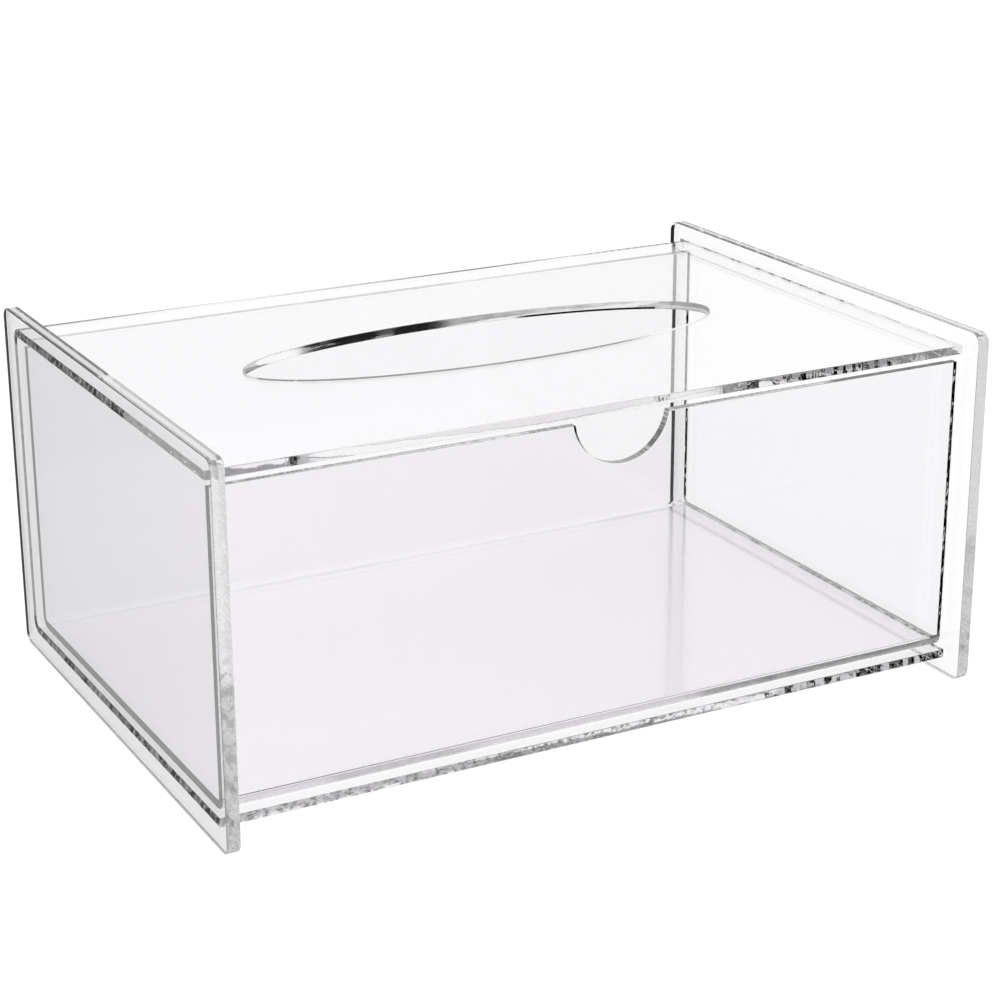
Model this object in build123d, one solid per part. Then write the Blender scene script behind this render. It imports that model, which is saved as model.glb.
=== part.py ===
from build123d import *
import os

# A clear acrylic tissue box with a drawer. Two flat end panels stand on their bottom edges and
# carry a casing between them. The casing is one sheet, bent twice at the back, that makes the
# bottom, the back and the top, and it is open at the front. A drawer tray, one sheet bent into a
# U, slides in from the front. Tissues are pulled through an oval slot in the top.
#
# Millimetres. +X is to the right, +Y to the back and +Z up, seen from the drawer's side.
# The origin is on the ground, in the middle of the footprint.

# ---- end panels ----
panel_spacing = 270.0  # between the inner faces of the two end panels
panel_thickness = 4.5
panel_depth = 194.0
panel_height = 126.0
panel_corner_radius = 4.0
panel_edge_break = 0.35  # small round along the polished edges

# ---- casing sheet ----
casing_thickness = 3.0
casing_bend_radius = 1.5  # inside of the two line bends
casing_foot_clearance = 6.3  # under the casing, down to the ground
casing_height = 114.0
casing_front_recess = 8.5  # behind the end panels' front edges
casing_back_recess = 7.5
casing_edge_break = 0.2
cement_film = 0.1  # between a sheet end and the end panel it is cemented to

# ---- oval tissue slot in the casing's top ----
slot_length = 177.0
slot_width = 56.5
slot_shift_left = 1.4  # from the middle of the box
slot_shift_forward = 3.0

# ---- drawer tray ----
tray_thickness = 3.0
tray_bend_radius = 1.5  # inside of the two line bends
tray_edge_break = 0.3
tray_front_recess = 2.0  # behind the casing's front edges
tray_back_clearance = 2.0  # between the tray's back wall and the casing's back
tray_left_clearance = 2.0
tray_right_clearance = 0.4
tray_seat_clearance = 0.3  # between the tray's bottom and the casing's bottom
tray_top_clearance = 3.1  # between the tray's walls and the casing's top

# ---- finger notch in the tray's front ----
notch_radius = 17.2
notch_centre_rise = 2.4  # of the notch's centre above the tray's top edge
notch_shift_right = 2.4  # from the middle of the tray

# ---- places that follow from the sizes above ----
panel_inner_face = panel_spacing / 2
casing_front = -panel_depth / 2 + casing_front_recess
casing_back = panel_depth / 2 - casing_back_recess
casing_bottom = casing_foot_clearance
casing_top = casing_bottom + casing_height
casing_end = panel_inner_face - cement_film
tray_front = casing_front + tray_front_recess
tray_back = casing_back - casing_thickness - tray_back_clearance
tray_bottom = casing_bottom + casing_thickness + tray_seat_clearance
tray_top = casing_top - casing_thickness - tray_top_clearance
tray_left = -panel_inner_face + tray_left_clearance
tray_right = panel_inner_face - tray_right_clearance
tray_middle = (tray_left + tray_right) / 2
notch_height = tray_top + notch_centre_rise

same_place = 1e-6  # two points closer than this are one


def lies_on(points):
    """A test for the profile's corners that lie on any of the given points."""
    return lambda corner: any(
        abs(corner.X - across) + abs(corner.Y - up) < same_place for across, up in points
    )


def bent_sheet(outside, inside, thickness, bend_radius, edge_break, left, right):
    """A sheet with line bends, as one solid. outside and inside are the corners of the sheet's two
    faces in the YZ plane, from its first free edge to its last, and left and right its ends in X."""
    profile = Sketch() + make_face(Polyline(*outside, *reversed(inside), close=True))
    rounds = (
        (outside[1:-1], bend_radius + thickness),
        (inside[1:-1], bend_radius),
        ([outside[0], inside[0], outside[-1], inside[-1]], edge_break),
    )
    for points, radius in rounds:
        profile = fillet(profile.vertices().filter_by(lies_on(points)), radius)
    return extrude(Plane.YZ.offset(left) * profile, amount=right - left)


def end_panel(inner_face, outward):
    """One end panel, from its inner face outwards: +1 is to the right and -1 to the left."""
    middle = inner_face + outward * panel_thickness / 2
    blank = Pos(middle, 0, panel_height / 2) * Box(panel_thickness, panel_depth, panel_height)
    panel = fillet(blank.edges().filter_by(Axis.X), panel_corner_radius)
    faces = panel.faces().sort_by(Axis.X)
    return fillet(faces[0].edges() + faces[-1].edges(), panel_edge_break)


def casing_sheet():
    """The bottom, back and top of the casing in one bent sheet, with the tissue slot cut through."""
    outside = [
        (casing_front, casing_bottom),
        (casing_back, casing_bottom),
        (casing_back, casing_top),
        (casing_front, casing_top),
    ]
    inside = [
        (casing_front, casing_bottom + casing_thickness),
        (casing_back - casing_thickness, casing_bottom + casing_thickness),
        (casing_back - casing_thickness, casing_top - casing_thickness),
        (casing_front, casing_top - casing_thickness),
    ]
    sheet = bent_sheet(
        outside,
        inside,
        casing_thickness,
        casing_bend_radius,
        casing_edge_break,
        -casing_end,
        casing_end,
    )
    slot_place = Pos(-slot_shift_left, -slot_shift_forward, casing_top - casing_thickness)
    slot = extrude(slot_place * Ellipse(slot_length / 2, slot_width / 2), amount=casing_thickness)
    slotted = sheet - slot
    return fillet(slotted.edges().filter_by(GeomType.ELLIPSE), casing_edge_break)


def drawer_tray():
    """The drawer: front, bottom and back in one bent sheet, with the finger notch in the front."""
    outside = [
        (tray_front, tray_top),
        (tray_front, tray_bottom),
        (tray_back, tray_bottom),
        (tray_back, tray_top),
    ]
    inside = [
        (tray_front + tray_thickness, tray_top),
        (tray_front + tray_thickness, tray_bottom + tray_thickness),
        (tray_back - tray_thickness, tray_bottom + tray_thickness),
        (tray_back - tray_thickness, tray_top),
    ]
    tray = bent_sheet(
        outside,
        inside,
        tray_thickness,
        tray_bend_radius,
        tray_edge_break,
        tray_left,
        tray_right,
    )
    notch_plane = Plane(
        origin=(tray_middle + notch_shift_right, tray_front, notch_height),
        x_dir=(1, 0, 0),
        z_dir=(0, 1, 0),
    )
    tray = tray - extrude(notch_plane * Circle(notch_radius), amount=tray_thickness)
    round_edges = tray.edges().filter_by(GeomType.CIRCLE)
    notch_edges = round_edges.filter_by(lambda edge: abs(edge.radius - notch_radius) < same_place)
    return fillet(notch_edges, tray_edge_break)


pieces = {
    "left_end_panel": end_panel(-panel_inner_face, -1),
    "right_end_panel": end_panel(panel_inner_face, 1),
    "casing_sheet": casing_sheet(),
    "drawer_tray": drawer_tray(),
}

os.makedirs("parts", exist_ok=True)
for name, piece in pieces.items():
    export_step(piece, f"parts/{name}.step")
    print(name, "solids", len(piece.solids()), "volume", round(piece.volume, 1))
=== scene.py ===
import math

import bmesh
import bpy
from mathutils import Matrix, Vector


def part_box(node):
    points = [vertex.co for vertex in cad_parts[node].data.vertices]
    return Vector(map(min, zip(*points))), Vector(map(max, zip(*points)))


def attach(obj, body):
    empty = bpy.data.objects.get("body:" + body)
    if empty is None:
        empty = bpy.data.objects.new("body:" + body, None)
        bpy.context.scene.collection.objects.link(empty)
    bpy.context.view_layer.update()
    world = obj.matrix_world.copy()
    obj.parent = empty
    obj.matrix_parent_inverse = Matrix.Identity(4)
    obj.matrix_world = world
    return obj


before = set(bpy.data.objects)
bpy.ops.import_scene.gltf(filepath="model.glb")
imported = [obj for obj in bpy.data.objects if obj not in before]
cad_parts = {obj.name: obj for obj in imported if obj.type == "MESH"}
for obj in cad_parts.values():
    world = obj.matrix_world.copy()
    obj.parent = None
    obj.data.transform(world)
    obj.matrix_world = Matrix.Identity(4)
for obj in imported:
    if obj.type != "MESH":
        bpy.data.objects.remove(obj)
bpy.context.view_layer.update()

# A clear acrylic tissue box with a drawer, in metres. Clear sheet shows itself by its edges, by the
# joints between its pieces and by what it mirrors, so most of this script is about those.
# The named levels of a ramp are (from, to, first, last): it goes smoothly from first to last as its
# value goes from one to the other. Where only two are named, first is 0 and last is 1.

# ---- where the pieces are, from the frame ----
panel_low, panel_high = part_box("right_end_panel")
casing_low, casing_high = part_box("casing_sheet")
tray_low, tray_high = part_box("drawer_tray")
sheet_thickness = 0.003
bend_radius = 0.0015  # inside of the casing's line bends
slot_reach = 0.08  # the slot's wall lies within this of the middle, front to back
notch_reach = 0.03  # the notch's wall lies within this of the middle, left to right
notch_floor = 0.09  # and higher than this
edge_round = 0.0006  # the small rounds along a cut edge, with some room
skin = 0.00002  # a point nearer to a face than this lies on it
facing = 0.75  # a face whose normal has more than this along an axis looks along that axis

# ---- camera, at the photograph's viewing angle ----
picture_side = 1000
focal_pixels = 2430
sensor_width = 36.0
view_yaw = math.radians(-28.13)
view_pitch = math.radians(19.48)
view_roll = math.radians(-0.18)
view_distance = 0.8524
aim_height = 0.060
aim_right = 0.0048
aim_up = 0.0005
view_nearest = 0.01
view_farthest = 100

# ---- the studio that mirrored rays see ----
studio_below = 0.05
studio_above = 0.30
horizon = 0.08  # half the height of the soft change between the two
# Each card is (heading from +Y towards +X, elevation, half angle, level), its angles in degrees.
studio_cards = (
    (62, 0, 66, 1.0),
    (0, 80, 32, 1.0),
    (-135, 38, 20, 1.0),
    (160, 30, 12, 0.9),
)
card_softness = 5
left_wall = (-40, 0, 50)  # heading, elevation and half angle of the studio's left side
left_wall_near = 0.25  # its level for rays mirrored by the box's outside
left_wall_far = 0.65  # and for rays that have been through a sheet
not_mirrored = 0.5  # a ray mirrored more often than this is a mirrored one
box_crossings = 1.5  # and one that has crossed more faces than this has been through a sheet
long_path = 16  # rays mirrored more often than this have run along a sheet, and see its haze
long_path_level = 0.55

# ---- floor ----
floor_reach = 5
floor_drop = 0.0003
floor_colour = 0.6
floor_glow = 0.47
contact_shade_level = 0.7  # of the floor right under a panel, for rays that leave its bottom edge: a fixed grey glow, painted contact shade
contact_reach = 0.005

# ---- how often a ray may be mirrored or cross a face ----
sheet_bounces = 48
clear_bounces = 32

# ---- clear acrylic ----
clear_ior = 1.49
lamp_share = 0.985  # of a lamp's light that each surface lets through
face_tint = (0.998, 0.991, 1.0, 1)
tint = (0.93, 0.91, 0.94, 1)
tint_density = 4.0
tray_floor_haze = 0.09
bump_depth = 0.001
slant_blend = 0.5  # makes Layer Weight's Facing one less the cosine of a ray's slant
let_out = 0.24  # what that is at the slant from which a face mirrors from inside
line_roughness = 0.6  # of the noise that draws lines

# ---- the panels' cut edges ----
saw_slant = 1.2  # how much the saw lines climb across an edge
saw_lines = dict(stretch=0.3, scale=1700.0, detail=3.0)
wear = dict(scale=70.0, detail=3.0, seed=(3, 1, 7))
wear_share = 0.5
right_hatch = (0.60, 0.90, 0.45, 0.80)
left_hatch = (0.78, 0.95, 0.25, 0.60)
grime = dict(scale=420.0, detail=4.0, stretch=(1, 1, 0.7), roughness=0.65, seed=(6, 0, 1))
grime_height = (0.080, 0.055)  # none above the first, and most below the second
grime_cover = (0.50, 0.58, 0.0, 0.85)
grime_darkness = 0.65
crown_inner_rim = 0.0012  # painted highlight: a top edge is lighter between two rims
crown_outer_rim = 0.0007
crown_softness = 0.0006
crown_highlight_cover = 0.75
panel_tone = 0.66
pale_tone = 0.30  # on top of the panels' tone, for the top edges' painted highlight and the paler left front edge
polish_rough = 0.02  # of the panels' and the tray's polished edges
front_rough = 0.08  # on top of that, and so are the two other roughnesses
bottom_rough = 0.40
polish_depth = 0.002
saw_depth = 0.03

# ---- the casing's cut edges ----
ripple = dict(scale=330.0, detail=2.0, stretch=(1, 1, 0.4))
ripple_depth = 0.06
swell = dict(scale=60.0, detail=1.0, seed=(5, 2, 0))
swell_depth = 0.3
swell_rough = (0.45, 0.62, 0.0, 0.04)
slot_streaks = dict(stretch=0.06, scale=1100.0, detail=2.0)
painted_shade_left = (-0.068, -0.055)  # painted shade: a black matt layer on the left of the slot's wall
painted_shade_right = (0.012, -0.012)
painted_shade_cover = (0.78, 0.92, 0.70, 0.98)
pale_right = (-0.012, 0.030)  # right of the painted shade the wall is pale: painted light
pale_cover = (0.35, 0.60, 0.75, 0.35)
rim_left = (0.020, 0.030)  # and has a dark lower rim: painted shade
rim_right = 0.075
rim_height = 0.0008
# tone of the slot wall's painted light (0.80) and painted shade (0.01)
slot_tone = (0.2, 0.8, 0.80, 0.01)
grains = dict(scale=900.0, detail=3.0, stretch=(0.6, 1, 1), roughness=0.7, seed=(2, 9, 4))
grain_right = (0.065, 0.020)  # the lower front edge is grainy on its left
grain_cover = (0.44, 0.62, 0.0, 0.85)
grain_tone = (0.48, 0.60, 0.8, 0.2)
grain_facing = 0.3

# ---- the tray's cut edges ----
end_saw = dict(stretch=1.0, scale=420.0, detail=3.0)
end_saw_cover = (0.36, 0.46)
end_low_share = 0.45  # the ends are lighter along the tray's floor, with less of the painted black
# painted shade: a dark grey matt layer over the tray's ends, seen from outside
end_outside_shade_cover = 0.7
notch_ticks = dict(stretch=1.0, scale=1300.0, detail=3.0)
notch_cover = (0.42, 0.60, 0.25, 0.85)
notch_pale_ticks = 0.54  # ticks above this are paler
notch_pale = 0.30
# tone of the ends' painted shade and of the notch's milled wall
tray_tone = 0.22
tray_rough = 0.2
tray_depth = 0.05

# ---- cement between the casing's ends and the panels ----
bond = dict(scale=110.0, detail=4.0, roughness=0.6)
bond_front = 0.47
bond_back = 0.53
cement_inset = 0.0001
cement_side_room = 0.25  # of the gap, between the film and the sheet on each side
bend_steps = 6
cement_stretch = (40, 1.0, 2.4)
cement_turn = 0.55
cement_noise = dict(scale=330.0, detail=3.0, roughness=0.6)
cement_clear_front = -0.030
cement_bubbly_back = -0.012
bubbles_bottom = 0.55  # how bubbly the bottom joint is, where 1 is the most
bubbles_few = 0.80  # the noise level above which there are bubbles, where they are fewest
bubbles_many = 0.15  # and where they are most
slits_along = 240.0  # light slits between the bubbles, per metre along the sheet
slits_up = 170.0  # and per metre up
slit_wander = 1.2
slit_width = 0.17  # as a share of their spacing
milk_tone = (0.32, 0.55, 0.26, 0.40)
right_joint_light_gain = 1.5  # painted light: the right joint is paler by this
cement_cover = (0.34, 0.50, 0.15, 0.95)
missing_share = 0.85  # of the cement at the back of the right joint


# ---- node helpers ----
def node(tree, kind, settings=None, **inputs):
    """A new node. settings are its attributes, and inputs its sockets' values or links."""
    made = tree.nodes.new(kind)
    for name, value in (settings or {}).items():
        setattr(made, name, value)
    for name, value in inputs.items():
        numbered = name[0] == "n" and name[1:].isdigit()
        socket = made.inputs[int(name[1:]) if numbered else name.replace("_", " ")]
        if isinstance(value, bpy.types.NodeSocket):
            tree.links.new(value, socket)
        else:
            socket.default_value = value
    return made


def maths(tree, operation, first, second=0.0, third=0.0):
    made = node(tree, "ShaderNodeMath", {"operation": operation}, n0=first, n1=second, n2=third)
    return made.outputs[0]


def both(tree, *masks):
    """1 where every mask is 1."""
    result = masks[0]
    for mask in masks[1:]:
        result = maths(tree, "MULTIPLY", result, mask)
    return result


def either(tree, *masks):
    """1 where any mask is 1."""
    result = masks[0]
    for mask in masks[1:]:
        result = maths(tree, "MAXIMUM", result, mask)
    return result


def opposite(tree, mask):
    """1 where the mask is 0."""
    return maths(tree, "SUBTRACT", 1.0, mask)


def above(tree, value, limit):
    return maths(tree, "GREATER_THAN", value, limit)


def below(tree, value, limit):
    return maths(tree, "LESS_THAN", value, limit)


def total(tree, start, *parts):
    """start, and on top of it each part, which is a socket and the amount to multiply it by."""
    for value, amount in parts:
        start = maths(tree, "MULTIPLY_ADD", value, amount, start)
    return start


def ramp(tree, value, low, high, first=0.0, last=1.0):
    """Goes smoothly from first to last as value goes from low to high."""
    made = node(
        tree, "ShaderNodeMapRange", {"interpolation_type": "SMOOTHSTEP"},
        Value=value, From_Min=low, From_Max=high, To_Min=first, To_Max=last,
    )
    return made.outputs["Result"]


def noise_at(tree, place, scale, detail, roughness):
    made = node(
        tree, "ShaderNodeTexNoise", Vector=place, Scale=scale, Detail=detail, Roughness=roughness
    )
    return made.outputs["Fac"]


def grey(level):
    return (level, level, level, 1)


def mix_shader(tree, share, first, second):
    return node(tree, "ShaderNodeMixShader", n0=share, n1=first, n2=second).outputs[0]


def new_material(name):
    """An empty material and its node tree."""
    material = bpy.data.materials.new(name)
    material.use_nodes = True
    material.node_tree.nodes.clear()
    return material, material.node_tree


# ---- camera, studio and floor ----
def add_camera():
    back = Vector((
        math.sin(view_yaw) * math.cos(view_pitch),
        -math.cos(view_yaw) * math.cos(view_pitch),
        math.sin(view_pitch),
    ))
    level_right = (-back).cross(Vector((0, 0, 1))).normalized()
    level_up = level_right.cross(-back)
    right = level_right * math.cos(view_roll) + level_up * math.sin(view_roll)
    up = level_up * math.cos(view_roll) - level_right * math.sin(view_roll)
    aim = Vector((0, 0, aim_height)) + right * aim_right + up * aim_up
    data = bpy.data.cameras.new("camera")
    data.sensor_width = sensor_width
    data.lens = focal_pixels / picture_side * sensor_width
    data.clip_start = view_nearest
    data.clip_end = view_farthest
    camera = bpy.data.objects.new("camera", data)
    bpy.context.scene.collection.objects.link(camera)
    turned = Matrix((right, up, back)).transposed().to_4x4()
    camera.matrix_world = Matrix.Translation(aim + back * view_distance) @ turned
    bpy.context.scene.camera = camera


def mirrored_share(tree):
    """1 for a ray that has been mirrored at least once on its way, and 0 for a straight one."""
    path = node(tree, "ShaderNodeLightPath")
    return above(tree, path.outputs["Glossy Depth"], not_mirrored)


def heading_vector(heading, elevation):
    h, e = math.radians(heading), math.radians(elevation)
    return Vector((math.sin(h) * math.cos(e), math.cos(h) * math.cos(e), math.sin(e)))


def card_mask(tree, direction, heading, elevation, half_angle):
    """1 for directions within half_angle of the card's middle, with a soft rim."""
    aim = node(
        tree, "ShaderNodeVectorMath", {"operation": "DOT_PRODUCT"},
        n0=direction, n1=heading_vector(heading, elevation),
    ).outputs["Value"]
    outer = math.cos(math.radians(half_angle + card_softness))
    inner = math.cos(math.radians(half_angle - card_softness))
    return ramp(tree, aim, outer, inner)


def studio_level(tree):
    """How bright the studio is each way: soft cards and a left wall in a dark room, and haze."""
    direction = node(tree, "ShaderNodeTexCoord").outputs["Generated"]
    height = node(tree, "ShaderNodeSeparateXYZ", n0=direction).outputs[2]
    level = ramp(tree, height, -horizon, horizon, studio_below, studio_above)
    for heading, elevation, half_angle, bright in studio_cards:
        card = card_mask(tree, direction, heading, elevation, half_angle)
        level = either(tree, level, maths(tree, "MULTIPLY", card, bright))
    path = node(tree, "ShaderNodeLightPath")
    far = above(tree, path.outputs["Transmission Depth"], box_crossings)
    wall_level = total(tree, left_wall_near, (far, left_wall_far - left_wall_near))
    wall = maths(tree, "MULTIPLY", card_mask(tree, direction, *left_wall), wall_level)
    along_sheet = above(tree, path.outputs["Glossy Depth"], long_path)
    return either(tree, level, wall, maths(tree, "MULTIPLY", along_sheet, long_path_level))


def add_world():
    """Plain white for straight rays, and the studio for mirrored ones."""
    world = bpy.data.worlds.new("studio")
    bpy.context.scene.world = world
    world.use_nodes = True
    world.cycles.sampling_method = "NONE"
    tree = world.node_tree
    tree.nodes.clear()
    level = studio_level(tree)
    plain = node(tree, "ShaderNodeBackground", Color=grey(1)).outputs[0]
    studio = node(tree, "ShaderNodeBackground", Color=grey(1), Strength=level).outputs[0]
    shown = mix_shader(tree, mirrored_share(tree), plain, studio)
    node(tree, "ShaderNodeOutputWorld", Surface=shown)


def floor_material():
    """Pale paper for straight rays. Mirrored ones pass it, unless they just left a bottom edge, for
    which it glows at a fixed grey, a painted contact shade.
    """
    material, tree = new_material("floor")
    paper = node(tree, "ShaderNodeBsdfDiffuse", Color=grey(floor_colour))
    glow = node(tree, "ShaderNodeEmission", Color=grey(1), Strength=floor_glow)
    lit = node(tree, "ShaderNodeAddShader", n0=paper.outputs[0], n1=glow.outputs[0]).outputs[0]
    away = node(tree, "ShaderNodeBsdfTransparent").outputs[0]
    # Painted contact shade: the floor under a panel glows at a fixed grey for mirrored rays.
    contact_shade_glow = node(tree, "ShaderNodeEmission", Color=grey(1), Strength=contact_shade_level).outputs[0]
    ray_length = node(tree, "ShaderNodeLightPath").outputs["Ray Length"]
    under = mix_shader(tree, below(tree, ray_length, contact_reach), away, contact_shade_glow)
    shown = mix_shader(tree, mirrored_share(tree), lit, under)
    node(tree, "ShaderNodeOutputMaterial", Surface=shown)
    return material


def add_floor():
    signs = ((-1, -1), (1, -1), (1, 1), (-1, 1))
    corners = [(x * floor_reach, y * floor_reach, -floor_drop) for x, y in signs]
    mesh = bpy.data.meshes.new("floor")
    mesh.from_pydata(corners, [], [(0, 1, 2, 3)])
    mesh.materials.append(floor_material())
    floor = bpy.data.objects.new("floor", mesh)
    bpy.context.scene.collection.objects.link(floor)


# ---- places on the pieces ----
class Surface:
    """Sockets that say where a point of a piece lies and which way its face points."""

    def __init__(self, tree):
        self.tree = tree
        self.place = node(tree, "ShaderNodeTexCoord").outputs["Object"]
        self.x, self.y, self.z = node(tree, "ShaderNodeSeparateXYZ", n0=self.place).outputs
        self.side = maths(tree, "ABSOLUTE", self.x)
        self.right = above(tree, self.x, 0.0)
        self.left = opposite(tree, self.right)
        geometry = node(tree, "ShaderNodeNewGeometry")
        self.inside = geometry.outputs["Backfacing"]
        self.outside = opposite(tree, self.inside)
        parts = node(tree, "ShaderNodeSeparateXYZ", n0=geometry.outputs["True Normal"]).outputs
        self.nx, self.ny, self.nz = [maths(tree, "ABSOLUTE", part) for part in parts]

    def noise(self, scale, detail, stretch=(1, 1, 1), roughness=0.5, seed=(0, 0, 0)):
        moved = node(
            self.tree, "ShaderNodeMapping", n0=self.place, Location=seed, Scale=stretch
        ).outputs[0]
        return noise_at(self.tree, moved, scale, detail, roughness)

    def lines(self, across, along, stretch, scale, detail):
        """Noise that changes with across, and with stretch times along. A small stretch draws lines."""
        slow = maths(self.tree, "MULTIPLY", along, stretch)
        place = node(self.tree, "ShaderNodeCombineXYZ", n0=across, n1=slow, n2=0.0).outputs[0]
        return noise_at(self.tree, place, scale, detail, line_roughness)

    def slanting(self):
        """1 where a ray inside the sheet meets its face at a slant, past the angle that lets it out."""
        slant = node(self.tree, "ShaderNodeLayerWeight", Blend=slant_blend).outputs["Facing"]
        return self.both(self.inside, self.above(slant, let_out))

    def above(self, value, limit):
        return above(self.tree, value, limit)

    def below(self, value, limit):
        return below(self.tree, value, limit)

    def both(self, *masks):
        return both(self.tree, *masks)

    def either(self, *masks):
        return either(self.tree, *masks)


def joint_section(at):
    """1 inside the casing sheet's U-shaped section, which is cemented to the end panels."""
    inside = at.both(
        at.above(at.y, casing_low.y),
        at.below(at.y, casing_high.y),
        at.above(at.z, casing_low.z),
        at.below(at.z, casing_high.z),
    )
    sheet = at.either(
        at.above(at.z, casing_high.z - sheet_thickness),
        at.below(at.z, casing_low.z + sheet_thickness),
        at.above(at.y, casing_high.y - sheet_thickness),
    )
    return at.both(inside, sheet)


def flat_place(at):
    """A point's place in the joint's plane, which is the same on both sides of the cement."""
    hand = maths(at.tree, "SIGN", at.x)
    return node(at.tree, "ShaderNodeCombineXYZ", n0=hand, n1=at.y, n2=at.z).outputs[0]


def bonded(at):
    """1 where the cement joins a casing end to its panel without an air gap."""
    noise = noise_at(at.tree, flat_place(at), **bond)
    wanted = ramp(at.tree, at.y, casing_low.y, casing_high.y, bond_front, bond_back)
    behind = at.above(at.y, casing_high.y - sheet_thickness)
    return at.either(at.above(noise, wanted), behind)


def panel_joint(at):
    return at.both(at.below(at.side, panel_low.x + skin), joint_section(at))


def casing_joint(at):
    return at.above(at.side, casing_high.x - skin)


def panel_edges(at):
    """1 on an end panel's cut edges, and 0 on its two large faces."""
    return at.below(at.nx, facing)


def slot_wall(at):
    top_sheet = at.above(at.z, casing_high.z - sheet_thickness - skin)
    upright = at.both(at.below(at.nz, facing), top_sheet)
    return at.both(upright, at.below(maths(at.tree, "ABSOLUTE", at.y), slot_reach))


def casing_edges(at):
    """1 on the casing's cut edges: its ends, its two front edges and the slot's wall."""
    ends = at.above(at.nx, facing)
    front = at.below(at.y, casing_low.y + edge_round)
    return at.either(ends, front, slot_wall(at))


def notch_wall(at):
    near = at.both(at.below(at.side, notch_reach), at.above(at.z, notch_floor))
    return at.both(near, at.below(at.ny, facing))


def tray_edges(at):
    """1 on the tray's cut edges: its ends, its two upper edges and the notch's wall."""
    ends = at.above(at.nx, facing)
    top = at.above(at.z, tray_high.z - edge_round)
    return at.either(ends, top, notch_wall(at))


# ---- how the cut edges are finished ----
# A finish says how much of the clear edge a matt layer covers, how light that layer is, and how
# rough the edge is and how high its marks stand. Several of these layers are painted shade, painted
# light and painted reflections, as said where they are made.
def panel_crown_highlight(at):
    """The middle of a panel's top edge, between its two rims, where a pale matt layer is a painted
    highlight.
    """
    inner = panel_low.x + crown_inner_rim
    outer = panel_high.x - crown_outer_rim
    return at.both(
        at.above(at.z, panel_high.z - edge_round),
        ramp(at.tree, at.side, inner, inner + crown_softness, 0.0, crown_highlight_cover),
        ramp(at.tree, at.side, outer, outer - crown_softness),
    )


def panel_cut(at):
    """Front edges keep fine slanting saw lines and bottom edges coarse ones. The rest is polished. Back
    edges take a painted black from inside, and top edges a painted highlight.
    """
    t = at.tree
    front = at.below(at.y, panel_low.y + edge_round)
    back = at.above(at.y, panel_high.y - edge_round)
    bottom = at.below(at.z, edge_round)
    climb = total(t, maths(t, "ADD", at.z, at.y), (at.x, saw_slant))
    saw = at.lines(climb, at.x, **saw_lines)
    worn = total(t, saw, (at.noise(**wear), wear_share))
    hatched = at.both(at.right, ramp(t, worn, *right_hatch))
    polished = at.both(at.left, ramp(t, worn, *left_hatch))
    finish = maths(t, "ADD", hatched, polished)
    low = ramp(t, at.z, *grime_height)
    marks = at.both(at.left, front, low, ramp(t, at.noise(**grime), *grime_cover))
    crown_highlight = panel_crown_highlight(at)
    # Painted black on the back edges, for the dark that the glass mirrors from inside at a slant.
    dark = at.both(back, at.slanting())
    # Painted highlight along the top edges' crown; the left front edge is painted paler too.
    pale = at.either(crown_highlight, at.both(front, at.left))
    tone = total(t, panel_tone, (pale, pale_tone), (marks, -grime_darkness))
    depth = total(t, polish_depth, (at.either(front, bottom), saw_depth))
    return {
        "cover": at.either(at.both(front, finish), crown_highlight, dark, marks),
        "shade": at.both(tone, opposite(t, dark)),
        "rough": total(t, polish_rough, (bottom, bottom_rough), (front, front_rough)),
        "height": maths(t, "MULTIPLY", saw, depth),
    }


def slot_finish(at, swelling):
    """Cover and shade of the slot's wall: painted shade on the left, and painted light with a painted
    dark rim on the right.
    """
    t = at.tree
    streaks = at.lines(at.z, at.x, **slot_streaks)
    # Painted shade: a streaky black matt layer on the left of the wall.
    painted_shade_span = at.both(ramp(t, at.x, *painted_shade_left), ramp(t, at.x, *painted_shade_right))
    painted_shade_layer = at.both(painted_shade_span, ramp(t, maths(t, "ADD", streaks, swelling), *painted_shade_cover))
    # Painted light: a pale matt layer to the right of it.
    pale = at.both(ramp(t, at.x, *pale_right), ramp(t, streaks, *pale_cover))
    # Painted shade: a dark rim along the wall's lower edge on the right.
    rim_top = casing_high.z - sheet_thickness + rim_height
    rim = at.both(at.below(at.z, rim_top), ramp(t, at.x, *rim_left), at.below(at.x, rim_right))
    seen = at.both(slot_wall(at), at.outside)
    cover = at.both(seen, at.either(painted_shade_layer, pale, rim))
    shade = at.both(seen, ramp(t, at.either(painted_shade_span, rim), *slot_tone))
    return cover, shade


def grain_finish(at):
    """Cover and shade of the grains on the casing's lower front edge."""
    t = at.tree
    lower = at.below(at.z, casing_low.z + sheet_thickness)
    front = at.both(at.above(at.ny, grain_facing), lower)
    grain = at.noise(**grains)
    cover = at.both(front, ramp(t, at.x, *grain_right), ramp(t, grain, *grain_cover))
    return cover, at.both(cover, ramp(t, grain, *grain_tone))


def casing_cut(at):
    """The front edges are polished, with a slight ripple. The slot's wall has streaky painted shade and
    painted light.
    """
    t = at.tree
    swelling = at.noise(**swell)
    slot_cover, slot_shade = slot_finish(at, swelling)
    grainy, grain_shade = grain_finish(at)
    waves = maths(t, "MULTIPLY", swelling, swell_depth)
    return {
        "cover": at.either(slot_cover, grainy),
        "shade": at.either(slot_shade, grain_shade),
        "rough": ramp(t, swelling, *swell_rough),
        "height": total(t, waves, (at.noise(**ripple), ripple_depth)),
    }


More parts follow.
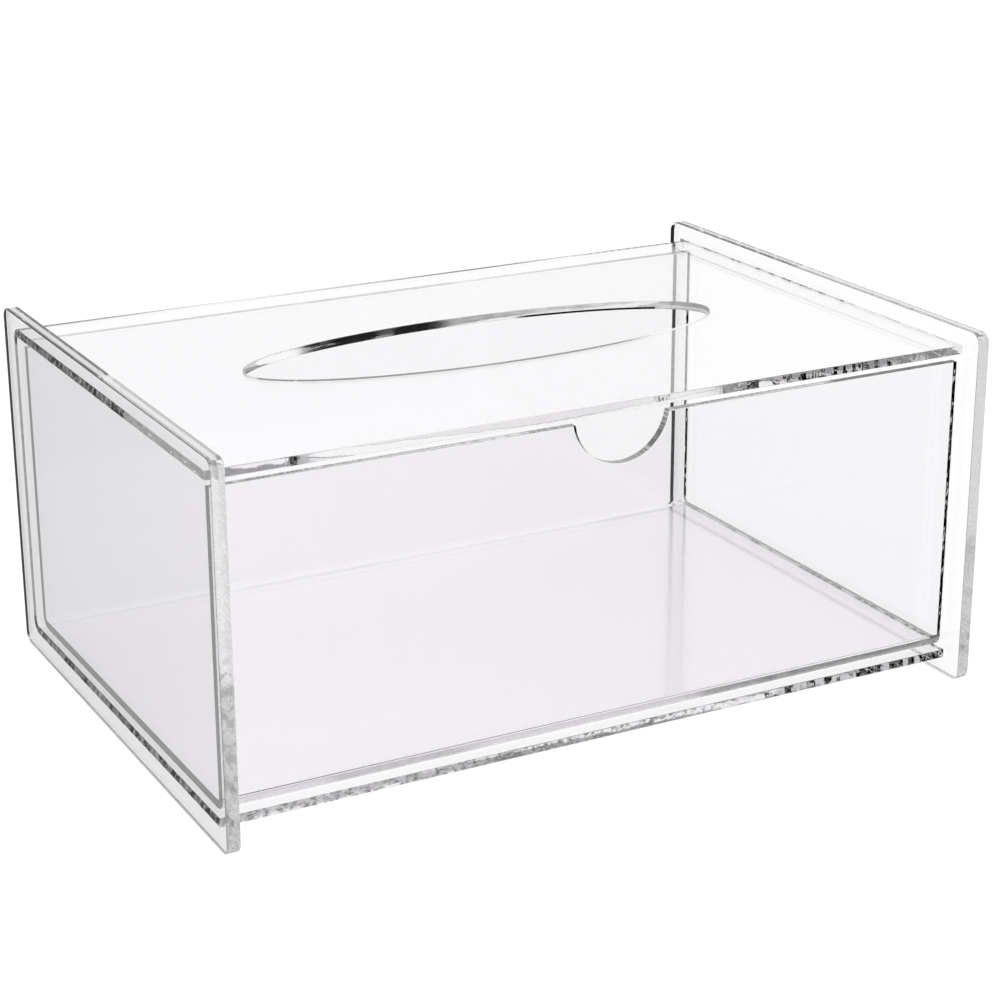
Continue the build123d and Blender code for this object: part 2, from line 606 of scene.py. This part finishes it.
def tray_cut(at):
    """The ends keep the saw's marks. From inside at a slant they take a painted black for the dark the
    glass mirrors, and from outside a dark grey painted shade.
    """
    t = at.tree
    ends = at.above(at.nx, facing)
    notch = notch_wall(at)
    sawn = at.lines(maths(t, "ADD", at.y, at.z), at.y, **end_saw)
    ticks = at.lines(at.x, at.z, **notch_ticks)
    floor_top = tray_low.z + sheet_thickness
    upright = ramp(t, at.z, floor_top, floor_top + sheet_thickness, end_low_share, 1.0)
    # Painted black for the dark that the glass mirrors from inside, ragged along the saw lines.
    dark = at.both(ends, at.slanting(), ramp(t, sawn, *end_saw_cover), upright)
    # Painted shade: a dark grey matt layer over the ends, seen from outside.
    outer = maths(t, "MULTIPLY", at.both(ends, at.outside), end_outside_shade_cover)
    milled = at.both(notch, ramp(t, ticks, *notch_cover))
    pale = at.both(notch, at.above(ticks, notch_pale_ticks))
    return {
        "cover": at.either(dark, outer, milled),
        "shade": at.both(total(t, tray_tone, (pale, notch_pale)), opposite(t, dark)),
        "rough": total(t, polish_rough, (at.either(ends, notch), tray_rough)),
        "height": maths(t, "MULTIPLY", at.either(sawn, ticks), tray_depth),
    }


# ---- clear acrylic ----
def clear_shader(tree, rough, **more):
    return node(
        tree, "ShaderNodeBsdfPrincipled",
        Base_Color=face_tint, Roughness=rough, IOR=clear_ior, Transmission_Weight=1.0, **more,
    ).outputs[0]


def acrylic(name, edges, joint, cut, floor_haze=0.0):
    """Clear acrylic: clean faces, edges as cut() finishes them, and one with its neighbour at joint.
    floor_haze is how rough the faces are as low as the tray's floor."""
    material, tree = new_material(name)
    at = Surface(tree)
    face_rough = 0.0
    if floor_haze:
        low = at.below(at.z, tray_low.z + sheet_thickness + edge_round)
        face_rough = maths(tree, "MULTIPLY", low, floor_haze)
    face = clear_shader(tree, face_rough)
    finish = cut(at)
    bump = node(
        tree, "ShaderNodeBump", Height=finish["height"], Strength=1.0, Distance=bump_depth
    ).outputs[0]
    clear_edge = clear_shader(tree, finish["rough"], Normal=bump)
    matt = node(tree, "ShaderNodeBsdfDiffuse", Color=finish["shade"]).outputs[0]
    edge = mix_shader(tree, finish["cover"], clear_edge, matt)
    glass = mix_shader(tree, edges(at), face, edge)
    if joint:
        merged = node(tree, "ShaderNodeBsdfTransparent").outputs[0]
        glass = mix_shader(tree, at.both(joint(at), bonded(at)), glass, merged)
    path = node(tree, "ShaderNodeLightPath")
    lamp = at.either(path.outputs["Is Shadow Ray"], path.outputs["Is Diffuse Ray"])
    passing = node(tree, "ShaderNodeBsdfTransparent", Color=grey(lamp_share)).outputs[0]
    shown = mix_shader(tree, lamp, glass, passing)
    volume = node(tree, "ShaderNodeVolumeAbsorption", Color=tint, Density=tint_density)
    node(tree, "ShaderNodeOutputMaterial", Surface=shown, Volume=volume.outputs[0])
    return material


# ---- solvent cement ----
def bend_points(y, z, radius, first):
    """A quarter turn around (y, z) as (y, z) points, from the angle first in degrees."""
    turns = [math.radians(first + 90 * step / bend_steps) for step in range(bend_steps + 1)]
    return [(y + radius * math.cos(turn), z + radius * math.sin(turn)) for turn in turns]


def u_outline(inset):
    """The casing sheet's U-shaped section as two lines of (y, z) points, inset from its faces."""
    middle_y = casing_high.y - sheet_thickness - bend_radius
    low_z = casing_low.z + sheet_thickness + bend_radius
    high_z = casing_high.z - sheet_thickness - bend_radius
    front = casing_low.y + inset
    lines = []
    for depth in (inset, sheet_thickness - inset):
        radius = bend_radius + sheet_thickness - depth
        line = [(front, casing_low.z + depth)]
        line += bend_points(middle_y, low_z, radius, -90)
        line += bend_points(middle_y, high_z, radius, 0)
        line += [(front, casing_high.z - depth)]
        lines.append(line)
    return lines


def cement_material():
    """Milky where the cement has run, and black with light slits where it holds bubbles. The right
    joint is painted paler, painted light.
    """
    material, tree = new_material("cement")
    at = Surface(tree)
    turned = node(
        tree, "ShaderNodeMapping",
        n0=flat_place(at), Scale=cement_stretch, Rotation=(cement_turn, 0, 0),
    ).outputs[0]
    dashes = noise_at(tree, turned, **cement_noise)
    top = at.above(at.z, casing_high.z - 2 * sheet_thickness)
    bottom = at.below(at.z, casing_low.z + 2 * sheet_thickness)
    back = at.above(at.y, casing_high.y - sheet_thickness)
    behind = ramp(tree, at.y, cement_clear_front, cement_bubbly_back)
    amount = at.either(at.both(top, behind), maths(tree, "MULTIPLY", bottom, bubbles_bottom))
    steps = total(tree, dashes, (at.z, slits_up), (at.y, slits_along), (dashes, slit_wander))
    slit = at.below(maths(tree, "FRACT", steps), slit_width)
    enough = ramp(tree, amount, 0.0, 1.0, bubbles_few, bubbles_many)
    bubbly = at.both(at.above(dashes, enough), opposite(tree, slit))
    # Painted light: the right joint's cement is painted paler than the left one's.
    gain = total(tree, 1.0, (at.right, right_joint_light_gain))
    milky = at.both(ramp(tree, dashes, *milk_tone), gain)
    shade = at.both(milky, opposite(tree, bubbly))
    matt = node(tree, "ShaderNodeBsdfDiffuse", Color=shade).outputs[0]
    clear = node(tree, "ShaderNodeBsdfTransparent").outputs[0]
    thick = ramp(tree, dashes, *cement_cover)
    filled = at.either(thick, bubbly, at.both(at.left, back))
    kept = total(tree, 1.0, (at.both(at.right, back), -missing_share))
    shown = mix_shader(tree, at.both(filled, kept), clear, matt)
    node(tree, "ShaderNodeOutputMaterial", Surface=shown)
    return material


def add_cement(name, hand, material):
    """The film of cement between the casing's end and a panel, which it joins."""
    room = (panel_low.x - casing_high.x) * cement_side_room
    outline = u_outline(cement_inset)
    mesh = bmesh.new()
    rows = []
    for across in (casing_high.x + room, panel_low.x - room):
        rows.append([
            [mesh.verts.new((hand * across, y, z)) for y, z in line] for line in outline
        ])
    (near_outer, near_inner), (far_outer, far_inner) = rows
    loops = [near_outer, far_outer, far_inner, near_inner]
    for line, beside in zip(loops, loops[1:] + loops[:1]):
        for step in range(len(line) - 1):
            mesh.faces.new((line[step], line[step + 1], beside[step + 1], beside[step]))
    for end in (0, -1):
        mesh.faces.new([line[end] for line in loops])
    bmesh.ops.recalc_face_normals(mesh, faces=mesh.faces)
    data = bpy.data.meshes.new(name)
    mesh.to_mesh(data)
    mesh.free()
    data.materials.append(material)
    piece = bpy.data.objects.new(name, data)
    bpy.context.scene.collection.objects.link(piece)
    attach(piece, "casing")


def dress():
    panel = acrylic("panel_acrylic_l", panel_edges, panel_joint, panel_cut)
    looks = {
        "left_end_panel": panel,
        "right_end_panel": panel,
        "casing_sheet": acrylic("casing_acrylic_l", casing_edges, casing_joint, casing_cut),
        "drawer_tray": acrylic("tray_acrylic_l", tray_edges, None, tray_cut, tray_floor_haze),
    }
    for name, material in looks.items():
        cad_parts[name].material_slots[0].material = material
    cement = cement_material()
    add_cement("left_cement", -1, cement)
    add_cement("right_cement", 1, cement)


def light_paths():
    """Rays may cross all the box's sheets, and be mirrored many times inside one."""
    cycles = bpy.context.scene.cycles
    cycles.max_bounces = sheet_bounces
    cycles.transmission_bounces = sheet_bounces
    cycles.glossy_bounces = sheet_bounces
    cycles.transparent_max_bounces = clear_bounces


add_camera()
add_world()
add_floor()
light_paths()
bpy.context.scene.view_settings.view_transform = "Standard"
dress()
